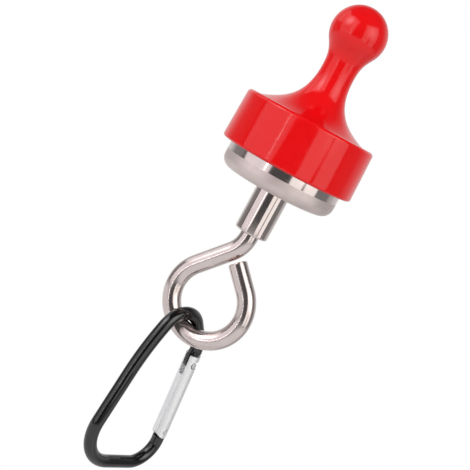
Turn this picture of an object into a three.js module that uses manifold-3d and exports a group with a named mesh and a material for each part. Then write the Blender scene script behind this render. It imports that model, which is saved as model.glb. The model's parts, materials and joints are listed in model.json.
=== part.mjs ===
// Magnetic hook: a pot magnet under a pull-off cap, with a threaded boss, an open eye and a snap carabiner.
// Millimetres. The origin is the centre of the magnet's working face, and +Z points out of that face.

import * as THREE from 'three';
import { mergeVertices } from 'three/addons/utils/BufferGeometryUtils.js';
import Module from 'manifold-3d';

// Clearances and cutters
const seatGap = 0.3;            // between a piece and the seat that is turned with it
const pinGap = 0.2;             // round a pin in its hole
const overrun = 1;              // how far a cutter runs past what it cuts
const lap = 0.5;                // how deep two forms of one piece run into each other

// Facets
const capSides = 48;
const potSides = 48;
const smallSides = 24;
const wireSides = 16;
const arcSteps = 6;
const edgeSteps = 2;
const eyeSteps = 66;
const carabinerSteps = 84;

// Cap: a ball handle on a hollow drum that slips over the magnet
const ballRadius = 7.6;
const handleHeight = 32.4;      // from the drum's top to the top of the ball
const neckRadius = 4.55;
const neckHeight = 14.1;        // of the narrowest place, above the drum's top
const ballEnd = 32.5;           // degrees below the ball's middle where the neck's curve begins
const waistPullUpper = 2.5;
const waistPullLower = 3.2;
const flareRadius = 15;
const flarePull = 8.7;
const flareElbowRadius = 8.8;
const flareElbowHeight = 2.3;
const drumTopRadius = 18.35;
const drumRadius = 18.8;
const drumHeight = 13.9;
const drumEdge = 1;             // radius of the drum's top edge
const rimEdge = 0.7;            // radius of the drum's lower edge
const capOverhang = 1.1;        // how far the drum reaches past the magnet's face
const potClearance = 0.55;      // between the drum's rim and the cup
const keeperThickness = 2;
const keeperLedge = 1.4;        // width of the ledge that the keeper lies against
const drumRoof = 2.2;
const postRadius = 4.5;
const coreRadius = 2;
const ribThickness = 1.4;
const ribCount = 6;

// Pot magnet
const potRadius = 16.05;
const potHeight = 7.8;
const potShoulder = 2.9;        // radius of the cup's back edge
const potWall = 2.4;
const potFloor = 2.5;
const rimChamfer = 0.25;
const ringThickness = 1.25;
const magnetRecess = 0.2;       // of the magnet's face behind the cup's rim

// Threaded boss
const bossRadius = 4.65;
const bossLength = 13;
const bossChamfer = 0.5;
const rivetRadius = 3.6;        // of the spigot that holds the boss in the cup's floor
const boreDepth = 11;

// Open eye
const eyeWire = 5.2;
const threadClearance = 0.3;
const shankEngagement = 9.5;
const neckDrop = 0.85;          // straight wire between the boss and the neck's bend
const neckBend = 9;
const legAngle = 41;            // degrees between the eye's leg and the axis
const tipAngle = 45;            // degrees between the cut tip and the axis
const loopRadius = 10.65;
const loopOffset = 1.2;         // of the loop's centre from the axis, on the side of the neck's bend
const tipLength = 7.9;          // straight wire from the loop to the cut tip

// Carabiner body, drawn from the crown of its upper bend
const carabinerWire = 3.6;
const carabinerWidth = 29.9;    // between the virtual corners of the base
const carabinerLength = 48;     // from the crown to the base, on the wire's centre line
const crownCornerShares = [-0.075, 0.131];
const backCornerShares = [-0.304, -0.243];
const heelCornerShares = [-0.457, -0.985];
const toeCornerShares = [0.542, -1];
const shoulderCornerShares = [0.359, -0.165];
const crownBend = 7.2;
const backBend = 70;
const heelBend = 11.4;
const toeBend = 7.6;
const shoulderBend = 9.65;
const noseLand = 0.1;           // straight wire between the shoulder's bend and the nose
const carabinerTurn = 67;       // degrees from the eye's plane to the carabiner's
const contactAngle = 13;        // degrees round the loop from its lowest place
const contactSlack = 0.6;       // between the two wires at the crown
const crownOffset = 1.4;        // of the crown from the point that it hangs by

// Gate, drawn from its hinge: X outwards, Z along the gate
const gateDiameter = 4.4;
const gateLength = 27.2;
const hingeInset = 2.2;
const noseGap = 0.4;
const heelGap = 0.3;
const slotWidth = 1.6;
const slotDepth = 6.4;
const hingeSlotHeight = 3.1;    // of the lower slot's end above the hinge
const hingeSlotWall = 1.75;     // from the gate's axis to the lower slot's blind inner side
const tongueThickness = 1;
const tongueLength = 4.3;       // of the nose's tongue below the gate's top
const tongueSpread = 2.6;       // of wire above the gate over which the nose spreads into its tongue
const hingeCutDrop = 0.7;       // below the rivet, where the hinge's inner edge starts to be cut back
const hingeCutInset = 0.2;      // of that cut's lower end from the gate's axis
const pinInset = 2.9;           // of the catch pin below the gate's top
const catchPinDiameter = 1.6;
const catchClearance = 0.3;
const rivetDiameter = 1.5;
const camRadius = 2;
const camRise = 0.4;            // of the cam for each radian that the gate opens
const camSweep = 28;            // degrees
const springBore = 2.4;
const springBoreStart = 1.9;    // above the hinge
const springBoreDepth = 11.5;
const pusherGap = 0.3;          // between the pusher and the cam
const pusherRadius = 0.9;
const pusherLength = 2.4;
const pusherStemRadius = 0.5;
const pusherStemLength = 1.6;
const springWire = 0.34;
const springDiameter = 1.9;     // over the coils
const springCoils = 9;
const springSteps = 8;          // for each coil
const springSides = 6;

// Levels along the axis
const potBack = -potHeight;
const bossEnd = potBack - bossLength;
const keeperTop = keeperThickness;
const drumBottom = -capOverhang;
const drumTop = drumBottom + drumHeight;
const pocketRadius = potRadius + potClearance;
const cavityRadius = potRadius - potWall;

const radians = THREE.MathUtils.degToRad;
const { cos, sin, tan, PI } = Math;
const point = (x, y) => new THREE.Vector2(x, y);

// Solids and surfaces

const wasm = await Module();
wasm.setup();

// A closed geometry as a solid for cutting and joining
function solid(geometry) {
  const bare = geometry.clone();
  bare.deleteAttribute('normal');
  bare.deleteAttribute('uv');
  const merged = mergeVertices(bare);
  const { array } = merged.index;
  const triVerts = [];
  for (let i = 0; i < array.length; i += 3) {
    const [a, b, c] = [array[i], array[i + 1], array[i + 2]];
    if (a !== b && b !== c && c !== a) triVerts.push(a, b, c);
  }
  return new wasm.Manifold(new wasm.Mesh({
    numProp: 3,
    vertProperties: new Float32Array(merged.attributes.position.array),
    triVerts: new Uint32Array(triVerts),
  }));
}

// A cut or joined solid as a geometry again
function surface(manifold) {
  const mesh = manifold.getMesh();
  const geometry = new THREE.BufferGeometry();
  geometry.setAttribute('position', new THREE.BufferAttribute(mesh.vertProperties, mesh.numProp));
  geometry.setIndex(new THREE.BufferAttribute(mesh.triVerts, 1));
  return geometry;
}

// Turns a profile of [radius, height] points, drawn with the material on its left, round the Z axis
function revolve(profile, sides) {
  return new THREE.LatheGeometry(profile, sides).rotateX(PI / 2);
}

// A cylinder along Z between two heights
function rod(radius, low, high, sides) {
  return new THREE.CylinderGeometry(radius, radius, high - low, sides)
    .rotateX(PI / 2)
    .translate(0, 0, (low + high) / 2);
}

// An outline in X and Z, given its thickness along Y
function plate(outline, thickness) {
  const options = { depth: thickness, bevelEnabled: false, curveSegments: arcSteps };
  return new THREE.ExtrudeGeometry(outline, options)
    .translate(0, 0, -thickness / 2)
    .rotateX(PI / 2);
}

// A slot across the wire: an outline in Y and Z that is run through along X
function slotCutter(width, low, high, reach) {
  const outline = new THREE.Shape();
  outline.moveTo(-width / 2, low);
  outline.lineTo(width / 2, low);
  outline.lineTo(width / 2, high - width / 2);
  outline.absarc(0, high - width / 2, width / 2, 0, PI, false);
  return plate(outline, reach).rotateZ(PI / 2);
}

// A plane path of lines and arcs, lifted into the XZ plane
class WireLine extends THREE.Curve {
  constructor(path) {
    super();
    this.path = path;
  }

  getPoint(t, target = new THREE.Vector3()) {
    const { x, y } = this.path.getPoint(t);
    return target.set(x, 0, y);
  }
}

function roundSection(radius, sides) {
  const corners = [];
  for (let i = 0; i < sides; i += 1) {
    const angle = (2 * PI * i) / sides;
    corners.push(point(radius * cos(angle), radius * sin(angle)));
  }
  return new THREE.Shape(corners);
}

function wire(curve, radius, steps, sides) {
  const options = { steps, extrudePath: curve, bevelEnabled: false };
  return new THREE.ExtrudeGeometry(roundSection(radius, sides), options);
}

// The bend at each inner corner of a route: where it starts, its centre and how far it turns.
// Two bends that would meet on a short side are drawn in alike.
function bendsOf(corners, radii) {
  const bends = radii.map((radius, i) => {
    const corner = corners[i + 1];
    const along = corner.clone().sub(corners[i]).normalize();
    const away = corners[i + 2].clone().sub(corner).normalize();
    const turn = Math.atan2(along.cross(away), along.dot(away));
    return { corner, along, turn, tangent: radius * tan(Math.abs(turn) / 2) };
  });
  const fits = corners.slice(1).map((corner, i) => {
    const room = corner.distanceTo(corners[i]);
    const wanted = (bends[i - 1]?.tangent ?? 0) + (bends[i]?.tangent ?? 0);
    return Math.min(1, room / wanted);
  });
  return bends.map((bend, i) => {
    const tangent = bend.tangent * Math.min(fits[i], fits[i + 1]);
    const radius = tangent / tan(Math.abs(bend.turn) / 2);
    const start = bend.corner.clone().addScaledVector(bend.along, -tangent);
    const side = point(-bend.along.y, bend.along.x).multiplyScalar(Math.sign(bend.turn));
    const centre = start.clone().addScaledVector(side, radius);
    return { ...bend, start, centre, radius, tangent };
  });
}

function bentPath(corners, radii) {
  const path = new THREE.Path();
  path.moveTo(corners[0].x, corners[0].y);
  for (const { start, centre, radius, turn } of bendsOf(corners, radii)) {
    const from = Math.atan2(start.y - centre.y, start.x - centre.x);
    path.lineTo(start.x, start.y);
    path.absarc(centre.x, centre.y, radius, from, from + turn, turn < 0);
  }
  const end = corners[corners.length - 1];
  path.lineTo(end.x, end.y);
  return path;
}

// Materials

function finish(color, roughness, metalness) {
  return new THREE.MeshStandardMaterial({ color, roughness, metalness });
}
const finishes = {
  redPlastic: () => finish(0xe3141b, 0.18, 0),
  nickel: () => finish(0xcfc6c4, 0.14, 1),
  plainSteel: () => finish(0xa9a9ab, 0.35, 1),
  magnet: () => finish(0x8f8f93, 0.3, 1),
  epoxy: () => finish(0x2c2c2e, 0.6, 0),
  blackAnodised: () => finish(0x121214, 0.22, 0.9),
  brightAluminium: () => finish(0xe4e4ea, 0.28, 1),
};

function named(name, geometry, material) {
  const mesh = new THREE.Mesh(geometry, material);
  mesh.name = name;
  return mesh;
}

// Cap

function drumOutline() {
  const path = new THREE.Path();
  path.moveTo(0, drumBottom);
  path.lineTo(drumRadius - rimEdge, drumBottom);
  path.absarc(drumRadius - rimEdge, drumBottom + rimEdge, rimEdge, -PI / 2, 0, false);
  path.absarc(drumTopRadius - drumEdge, drumTop - drumEdge, drumEdge, 0, PI / 2, false);
  return path.getPoints(edgeSteps);
}

// The drum's top sweeps up into the neck, which sweeps out again into the ball
function handleOutline() {
  const ballCentre = drumTop + handleHeight - ballRadius;
  const low = radians(ballEnd);
  const leave = point(ballRadius * cos(low), ballCentre - ballRadius * sin(low));
  const waist = drumTop + neckHeight;
  const path = new THREE.Path();
  path.moveTo(flareRadius, drumTop);
  path.bezierCurveTo(
    flareElbowRadius, drumTop + flareElbowHeight,
    neckRadius, waist - flarePull,
    neckRadius, waist,
  );
  path.bezierCurveTo(
    neckRadius, waist + waistPullLower,
    leave.x - waistPullUpper * sin(low), leave.y - waistPullUpper * cos(low),
    leave.x, leave.y,
  );
  path.absarc(0, ballCentre, ballRadius, -low, PI / 2, false);
  return path.getPoints(arcSteps + 1);
}

// The hollow that the keeper and the magnet go into, with ribs left standing in its upper part
function capHollow() {
  const roof = drumTop - drumRoof;
  const chamber = pocketRadius - keeperLedge;
  const ring = revolve([
    point(postRadius, keeperTop - overrun),
    point(chamber, keeperTop - overrun),
    point(chamber, roof),
    point(postRadius, roof),
    point(postRadius, keeperTop - overrun),
  ], capSides);
  let hollow = solid(ring);
  for (let i = 0; i < ribCount; i += 1) {
    const rib = new THREE.BoxGeometry(chamber, ribThickness, roof - keeperTop + overrun + lap)
      .translate(chamber / 2 + lap, 0, (roof + keeperTop) / 2)
      .rotateZ((2 * PI * i) / ribCount);
    hollow = hollow.subtract(solid(rib));
  }
  const pocket = rod(pocketRadius, drumBottom - overrun, keeperTop, capSides);
  const core = rod(coreRadius, drumBottom, drumTop + handleHeight - ballRadius, smallSides);
  return hollow.add(solid(pocket)).add(solid(core));
}

function capShell() {
  const outside = solid(revolve([...drumOutline(), ...handleOutline()], capSides));
  return named('cap_shell', surface(outside.subtract(capHollow())), finishes.redPlastic());
}

function keeperDisc() {
  const disc = rod(pocketRadius - seatGap, 0, keeperThickness, capSides);
  return named('keeper_disc', disc, finishes.plainSteel());
}

// Pot magnet

function potCup() {
  const path = new THREE.Path();
  const hole = rivetRadius + seatGap;
  path.moveTo(hole, potBack);
  path.lineTo(potRadius - potShoulder, potBack);
  path.absarc(potRadius - potShoulder, potBack + potShoulder, potShoulder, -PI / 2, 0, false);
  path.lineTo(potRadius, -rimChamfer);
  path.lineTo(potRadius - rimChamfer, 0);
  path.lineTo(cavityRadius, 0);
  path.lineTo(cavityRadius, potBack + potFloor);
  path.lineTo(hole, potBack + potFloor);
  path.lineTo(hole, potBack);
  return named('pot_cup', revolve(path.getPoints(edgeSteps + 2), potSides), finishes.nickel());
}

function magnetDisc() {
  const radius = cavityRadius - 2 * seatGap - ringThickness;
  const disc = rod(radius, potBack + potFloor, -magnetRecess, potSides);
  return named('magnet_disc', disc, finishes.magnet());
}

function gapRing() {
  const outer = cavityRadius - seatGap;
  const inner = outer - ringThickness;
  const low = potBack + potFloor;
  const ring = revolve([
    point(inner, low),
    point(outer, low),
    point(outer, -magnetRecess),
    point(inner, -magnetRecess),
    point(inner, low),
  ], potSides);
  return named('gap_ring', ring, finishes.epoxy());
}

// Threaded boss, riveted into the cup's floor

function threadedBoss() {
  const bore = eyeWire / 2 + threadClearance;
  return named('threaded_boss', revolve([
    point(0, bossEnd + boreDepth),
    point(bore, bossEnd + boreDepth),
    point(bore, bossEnd),
    point(bossRadius - bossChamfer, bossEnd),
    point(bossRadius, bossEnd + bossChamfer),
    point(bossRadius, potBack),
    point(rivetRadius, potBack),
    point(rivetRadius, potBack + potFloor),
    point(0, potBack + potFloor),
  ], potSides), finishes.nickel());
}

// Open eye, bent from one wire in the XZ plane

const lean = radians(legAngle);
const neckStart = bossEnd - neckDrop;
const legsMeet = neckStart - neckBend * tan(lean / 2);
const legRun = (loopRadius * cos(lean) + loopOffset) / sin(lean);
const loopCentre = point(-loopOffset, legsMeet - legRun * cos(lean) - loopRadius * sin(lean));

function eyeHook() {
  const tipLean = radians(tipAngle);
  const path = new THREE.Path();
  path.moveTo(0, bossEnd + shankEngagement);
  path.lineTo(0, neckStart);
  path.absarc(-neckBend, neckStart, neckBend, 0, -lean, true);
  path.absarc(loopCentre.x, loopCentre.y, loopRadius, PI - lean, 2 * PI + tipLean, false);
  const loopEnd = path.currentPoint.clone();
  path.lineTo(loopEnd.x - tipLength * sin(tipLean), loopEnd.y + tipLength * cos(tipLean));
  const bent = wire(new WireLine(path), eyeWire / 2, eyeSteps, wireSides);
  return named('eye_hook', bent, finishes.nickel());
}

// Carabiner, in a plane of its own: X across it, Z up, from the point of the eye that it hangs on

const scaled = ([across, up]) => point(across * carabinerWidth, up * carabinerLength);
const backCorners = [heelCornerShares, backCornerShares, crownCornerShares].map(scaled);
const toe = scaled(toeCornerShares);
const shoulder = scaled(shoulderCornerShares);
const gateAlong = shoulder.clone().sub(toe).normalize();
const gateOut = point(gateAlong.y, -gateAlong.x);
const bends = bendsOf(
  [toe, ...backCorners, shoulder, toe],
  [heelBend, backBend, crownBend, shoulderBend],
);
const crown = bends[2].centre.clone().add(point(0, bends[2].radius));
const hang = point(crown.x + crownOffset, crown.y - (eyeWire + carabinerWire) / 2 - contactSlack);
const noseEnd = shoulder.clone().addScaledVector(gateAlong, -bends[3].tangent - noseLand);
const gateTop = noseEnd.clone().addScaledVector(gateAlong, -noseGap);
const heelEnd = gateTop.clone().addScaledVector(gateAlong, -gateLength - heelGap);
const hingeReach = gateLength - hingeInset;
const gateInset = (gateDiameter - carabinerWire) / 2;
const hinge = gateTop.clone().addScaledVector(gateAlong, -hingeReach).addScaledVector(gateOut, -gateInset);

// The upper tongue, which carries the catch pin, in the gate's own axes. The wire is pressed flat there,
// and spreads until it is flush with the gate's inner side.
function noseTongue() {
  const half = gateDiameter / 2;
  const tipCentre = hingeReach - tongueLength + half;
  const root = hingeReach + noseGap;
  const outline = new THREE.Shape();
  outline.moveTo(half - lap, root + lap);
  outline.lineTo(gateInset + lap - half, root + tongueSpread);
  outline.lineTo(-half, root);
  outline.lineTo(-half, tipCentre);
  outline.absarc(0, tipCentre, half, PI, 2 * PI, false);
  outline.lineTo(half, root - noseGap);
  outline.lineTo(half - lap, root + lap);
  const hole = rod(catchPinDiameter / 2 + pinGap, -tongueThickness, tongueThickness, smallSides)
    .rotateX(PI / 2)
    .translate(0, 0, hingeReach - pinInset);
  return solid(plate(outline, tongueThickness)).subtract(solid(hole));
}

// The lower tongue: the hinge's rivet goes through it, and its top is the cam that the sprung pusher rides on.
// Its inner edge is cut back below the rivet, where the gate's blind side swings in as the gate opens.
function hingeTongue() {
  const inner = gateInset - carabinerWire / 2;
  const root = -hingeInset - heelGap - lap;
  const outline = new THREE.Shape();
  outline.moveTo(camRadius, root);
  outline.lineTo(camRadius, 0);
  outline.absarc(0, 0, camRadius, 0, PI / 2, false);
  for (let i = 1; i <= arcSteps; i += 1) {
    const swept = (radians(camSweep) * i) / arcSteps;
    const radius = camRadius + camRise * swept;
    outline.lineTo(-radius * sin(swept), radius * cos(swept));
  }
  outline.lineTo(inner, rivetDiameter / 2);
  outline.lineTo(inner, -hingeCutDrop);
  outline.lineTo(-hingeCutInset, root);
  outline.lineTo(camRadius, root);
  const hole = rod(rivetDiameter / 2 + pinGap, -tongueThickness, tongueThickness, smallSides).rotateX(PI / 2);
  return solid(plate(outline, tongueThickness)).subtract(solid(hole));
}

// Places what is drawn in the gate's axes in the carabiner's
const inCarabiner = new THREE.Matrix4().makeBasis(
  new THREE.Vector3(gateOut.x, 0, gateOut.y),
  new THREE.Vector3(0, 1, 0),
  new THREE.Vector3(gateAlong.x, 0, gateAlong.y),
).setPosition(hinge.x - hang.x, 0, hinge.y - hang.y);

function carabinerBody() {
  const corners = [heelEnd, toe, ...backCorners, shoulder, noseEnd].map((corner) => corner.clone().sub(hang));
  const path = bentPath(corners, [toeBend, heelBend, backBend, crownBend, shoulderBend]);
  const bent = solid(wire(new WireLine(path), carabinerWire / 2, carabinerSteps, wireSides));
  const tongues = [noseTongue(), hingeTongue()].map((tongue) => surface(tongue).applyMatrix4(inCarabiner));
  const body = tongues.reduce((whole, tongue) => whole.add(solid(tongue)), bent);
  return named('carabiner_body', surface(body), finishes.blackAnodised());
}

// Gate

function gate() {
  const radius = gateDiameter / 2;
  const across = gateDiameter + 2 * overrun;
  const foot = new THREE.Shape();
  foot.absarc(0, 0, hingeInset, PI, 2 * PI, false);
  foot.lineTo(hingeInset, hingeReach + overrun);
  foot.lineTo(-hingeInset, hingeReach + overrun);
  const notchRadius = catchPinDiameter / 2 + catchClearance;
  const notch = new THREE.Shape();
  notch.absarc(0, hingeReach - pinInset, notchRadius, PI / 2, 1.5 * PI, false);
  notch.lineTo(across / 2, hingeReach - pinInset - notchRadius);
  notch.lineTo(across / 2, hingeReach - pinInset + notchRadius);
  const upperSlot = slotCutter(slotWidth, -hingeReach - overrun, slotDepth - hingeReach, across)
    .rotateX(PI);
  const lowerSlot = slotCutter(slotWidth, -hingeInset - overrun, hingeSlotHeight, across)
    .translate(across / 2 - hingeSlotWall, 0, 0);
  const bore = rod(springBore / 2, springBoreStart, springBoreStart + springBoreDepth, smallSides);
  const rivetHole = rod(rivetDiameter / 2 + pinGap, -across, across, smallSides).rotateX(PI / 2);
  const cutters = [plate(notch, across), upperSlot, lowerSlot, bore, rivetHole];
  const bar = solid(rod(radius, -hingeInset, hingeReach, 2 * wireSides))
    .intersect(solid(plate(foot, across)));
  const cut = cutters.reduce((rest, cutter) => rest.subtract(solid(cutter)), bar);
  return named('gate', surface(cut), finishes.brightAluminium());
}

// A pin across the gate at a height above the hinge
function crossPin(name, diameter, height) {
  const pin = new THREE.CylinderGeometry(diameter / 2, diameter / 2, gateDiameter, smallSides)
    .translate(0, 0, height);
  return named(name, pin, finishes.plainSteel());
}

const pusherTip = camRadius + pusherGap;
const pusherSeat = pusherTip + pusherLength;

function springPusher() {
  const path = new THREE.Path();
  path.moveTo(0, pusherTip);
  path.absarc(0, pusherTip + pusherRadius, pusherRadius, -PI / 2, 0, false);
  path.lineTo(pusherRadius, pusherSeat);
  path.lineTo(pusherStemRadius, pusherSeat);
  path.lineTo(pusherStemRadius, pusherSeat + pusherStemLength);
  path.lineTo(0, pusherSeat + pusherStemLength);
  return named('spring_pusher', revolve(path.getPoints(edgeSteps), wireSides), finishes.plainSteel());
}

// A round wire wound between the pusher and the end of its bore
function gateSpring() {
  const low = pusherSeat + springWire / 2 + seatGap;
  const high = springBoreStart + springBoreDepth - springWire / 2 - seatGap;
  const winding = (springDiameter - springWire) / 2;
  const helix = new THREE.Curve();
  helix.getPoint = (t, target = new THREE.Vector3()) => {
    const angle = 2 * PI * springCoils * t;
    return target.set(winding * cos(angle), winding * sin(angle), low + (high - low) * t);
  };
  const coil = wire(helix, springWire / 2, springCoils * springSteps, springSides);
  return named('gate_spring', coil, finishes.plainSteel());
}

// Assembly

function gateGroup() {
  const group = new THREE.Group();
  inCarabiner.decompose(group.position, group.quaternion, group.scale);
  group.add(
    gate(),
    crossPin('hinge_rivet', rivetDiameter, 0),
    crossPin('catch_pin', catchPinDiameter, hingeReach - pinInset),
    springPusher(),
    gateSpring(),
  );
  return group;
}

function carabiner() {
  const group = new THREE.Group();
  const round = radians(contactAngle);
  group.position.set(loopCentre.x - loopRadius * sin(round), 0, loopCentre.y - loopRadius * cos(round));
  group.rotation.z = radians(carabinerTurn);
  group.add(carabinerBody(), gateGroup());
  return group;
}

const magneticHook = new THREE.Group();
magneticHook.add(
  capShell(),
  keeperDisc(),
  potCup(),
  magnetDisc(),
  gapRing(),
  threadedBoss(),
  eyeHook(),
  carabiner(),
);

export default magneticHook;
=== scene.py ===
import json
import math

import bmesh
import bpy
import numpy as np
from mathutils import Matrix, Vector


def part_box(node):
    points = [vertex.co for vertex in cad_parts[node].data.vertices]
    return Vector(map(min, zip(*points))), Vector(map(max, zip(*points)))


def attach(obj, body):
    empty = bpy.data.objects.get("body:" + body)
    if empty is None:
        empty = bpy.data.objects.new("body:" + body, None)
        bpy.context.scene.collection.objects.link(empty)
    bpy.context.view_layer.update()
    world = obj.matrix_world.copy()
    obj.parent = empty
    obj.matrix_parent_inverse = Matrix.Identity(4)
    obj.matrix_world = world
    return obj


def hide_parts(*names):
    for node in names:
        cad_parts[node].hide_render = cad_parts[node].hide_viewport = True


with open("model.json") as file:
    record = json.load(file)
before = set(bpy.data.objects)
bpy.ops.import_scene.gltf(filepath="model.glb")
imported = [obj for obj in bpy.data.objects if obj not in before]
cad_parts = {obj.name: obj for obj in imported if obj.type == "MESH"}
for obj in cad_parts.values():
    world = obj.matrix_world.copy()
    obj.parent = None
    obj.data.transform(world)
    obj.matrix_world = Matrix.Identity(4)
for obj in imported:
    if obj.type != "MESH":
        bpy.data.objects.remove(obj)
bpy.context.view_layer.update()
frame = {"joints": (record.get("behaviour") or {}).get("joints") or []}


# Cap shell
# The cap is one injection moulding in glossy red ABS: a ball handle that flares into a drum.
# The drum is hollow, with a post and six ribs over the keeper, and slips over the magnet's cup.

BALL_RADIUS = 7.6
BALL_HEIGHT = 37.6              # of the ball's centre
BALL_END = 32.5                 # degrees below the ball's middle where the neck begins
NECK_RADIUS = 4.55
NECK_HEIGHT = 26.9
WAIST_PULLS = (3.2, 2.5)        # of the curve from the neck to the ball, at its two ends
FLARE_RADIUS = 15
FLARE_PULL = 8.7
FLARE_ELBOW = (8.8, 15.1)
DRUM_TOP_RADIUS = 18.35
DRUM_RADIUS = 18.8
DRUM_TOP = 12.8
DRUM_BOTTOM = -1.1
TOP_EDGE = 1
LOWER_EDGE = 0.7
MOUTH_EDGE = 0.25               # the small round at the pocket's mouth
POCKET_RADIUS = 16.6
POCKET_ROOF = 2
CHAMBER_RADIUS = 15.2
CHAMBER_ROOF = 10.6
POST_RADIUS = 4.5
CORE_RADIUS = 2                 # of the hollow up the handle
CORE_TIP = 1                    # height of the cone at its end
RIB_THICKNESS = 1.4
RIB_SINK = 0.5                  # how far a rib runs into the walls that it joins
CAP_FACETS = 208


def colour(written):
    """An sRGB hex value as linear red, green and blue, with an alpha of 1."""
    parts = [int(written[i:i + 2], 16) / 255 for i in (1, 3, 5)]
    return [p / 12.92 if p <= 0.04045 else ((p + 0.055) / 1.055) ** 2.4 for p in parts] + [1]


def add(tree, kind, inputs=(), stops=(), **settings):
    """Adds a shader node with its settings. An input is a value, or a socket to link from. stops
    are a colour ramp's places and colours."""
    node = tree.nodes.new("ShaderNode" + kind)
    for name, value in settings.items():
        setattr(node, name, value)
    wire_up(tree, node, inputs)
    for i, (place, value) in enumerate(stops):
        marks = node.color_ramp.elements
        mark = marks[i] if i < 2 else marks.new(place)
        mark.position, mark.color = place, value
    return node


def wire_up(tree, node, inputs):
    """Sets a node's inputs, each to a value or to a link from another node's socket."""
    for key, value in dict(inputs).items():
        if isinstance(value, bpy.types.NodeSocket):
            tree.links.new(value, node.inputs[key])
        else:
            node.inputs[key].default_value = value


def finish_of(name, **values):
    """A new material with these values set straight on its Principled shader, and its node tree."""
    material = bpy.data.materials.new(name)
    material.use_nodes = True
    tree = material.node_tree
    shader = tree.nodes["Principled BSDF"]
    wire_up(tree, shader, {key.replace("_", " "): value for key, value in values.items()})
    return material, tree, shader


def arc(centre, radius, start, end, steps):
    """Rows of [radius, height] round a centre, from one angle to another in degrees."""
    angle = np.radians(np.linspace(start, end, steps + 1))
    return np.column_stack([centre[0] + radius * np.cos(angle), centre[1] + radius * np.sin(angle)])


def bezier(a, b, c, d, steps):
    """A cubic curve: its four corners are weighted by the cubic Bernstein terms of t."""
    t = np.linspace(0, 1, steps + 1)[:, None]
    a, b, c, d = (np.array(corner, float) for corner in (a, b, c, d))
    return (1 - t) ** 3 * a + 3 * (1 - t) ** 2 * t * b + 3 * (1 - t) * t ** 2 * c + t ** 3 * d


def swept(centres, sides, across, radii, facets):
    """Rings carried along a line. Point t of a ring is its centre plus its radius times
    (cos t * side + sin t * across); a radius may change with t. Faces join neighbouring rings."""
    centres = np.asarray(centres, float)
    count = len(centres)
    sides, across = (np.broadcast_to(np.asarray(v, float), (count, 3)) for v in (sides, across))
    radii = np.broadcast_to(np.asarray(radii, float).reshape(count, -1), (count, facets))
    turn = 2 * np.pi * np.arange(facets) / facets
    circle = np.cos(turn)[:, None] * sides[:, None] + np.sin(turn)[:, None] * across[:, None]
    points = centres[:, None] + radii[..., None] * circle
    first = np.arange(count - 1)[:, None] * facets
    here, there = np.arange(facets), np.roll(np.arange(facets), -1)
    faces = np.stack([first + here, first + there, first + facets + there, first + facets + here], -1)
    return points.reshape(-1, 3), faces.reshape(-1, 4)


def turned(profile, facets):
    """Rows of [radius, height] turned round the Z axis, drawn with the material on their left."""
    profile = np.asarray(profile, float)
    centres = np.column_stack([np.zeros((len(profile), 2)), profile[:, 1]])
    return swept(centres, (1, 0, 0), (0, 1, 0), profile[:, 0], facets)


def piece(name, parts, material, crease=35, straight=None):
    """One object from lists of points in millimetres and quads. Points that meet are merged, which
    closes seams and poles, and edges sharper than the crease angle stay sharp. straight is the
    place of each point along and round a bent wire, for patterns that follow it."""
    points = np.concatenate([part[0] for part in parts])
    starts = np.cumsum([0] + [len(part[0]) for part in parts])
    faces = np.concatenate([np.asarray(part[1]) + start for part, start in zip(parts, starts)])
    mesh = bpy.data.meshes.new(name)
    mesh.from_pydata((points * 0.001).tolist(), [], faces.tolist())
    if straight is not None:
        layer = mesh.attributes.new("straight", "FLOAT_VECTOR", "POINT")
        layer.data.foreach_set("vector", (np.concatenate(straight) * 0.001).astype(np.float32).ravel())
    shaped = bmesh.new()
    shaped.from_mesh(mesh)
    bmesh.ops.remove_doubles(shaped, verts=shaped.verts, dist=1e-7)
    shaped.to_mesh(mesh)
    shaped.free()
    mesh.shade_smooth()
    mesh.set_sharp_from_angle(angle=math.radians(crease))
    mesh.materials.append(material)
    made = bpy.data.objects.new(name, mesh)
    bpy.context.scene.collection.objects.link(made)
    return made


def cap_profile():
    """From the core's top down the hollow, round the rim, and up the drum, flare, neck and ball."""
    low = math.radians(BALL_END)
    leave = (BALL_RADIUS * math.cos(low), BALL_HEIGHT - BALL_RADIUS * math.sin(low))
    hollow = [
        (0, BALL_HEIGHT), (CORE_RADIUS, BALL_HEIGHT - CORE_TIP), (CORE_RADIUS, POCKET_ROOF),
        (POST_RADIUS, POCKET_ROOF), (POST_RADIUS, CHAMBER_ROOF),
        (CHAMBER_RADIUS, CHAMBER_ROOF), (CHAMBER_RADIUS, POCKET_ROOF),
        (POCKET_RADIUS, POCKET_ROOF),
    ]
    return np.vstack([
        hollow,
        arc((POCKET_RADIUS + MOUTH_EDGE, DRUM_BOTTOM + MOUTH_EDGE), MOUTH_EDGE, 180, 270, steps=4),
        arc((DRUM_RADIUS - LOWER_EDGE, DRUM_BOTTOM + LOWER_EDGE), LOWER_EDGE, -90, 0, steps=10),
        arc((DRUM_TOP_RADIUS - TOP_EDGE, DRUM_TOP - TOP_EDGE), TOP_EDGE, 0, 90, steps=12),
        bezier((FLARE_RADIUS, DRUM_TOP), FLARE_ELBOW, (NECK_RADIUS, NECK_HEIGHT - FLARE_PULL),
               (NECK_RADIUS, NECK_HEIGHT), steps=48),
        bezier((NECK_RADIUS, NECK_HEIGHT), (NECK_RADIUS, NECK_HEIGHT + WAIST_PULLS[0]),
               (leave[0] - WAIST_PULLS[1] * math.sin(low), leave[1] - WAIST_PULLS[1] * math.cos(low)),
               leave, steps=24)[1:],
        arc((0, BALL_HEIGHT), BALL_RADIUS, -BALL_END, 90, steps=56)[1:],
    ])


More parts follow.
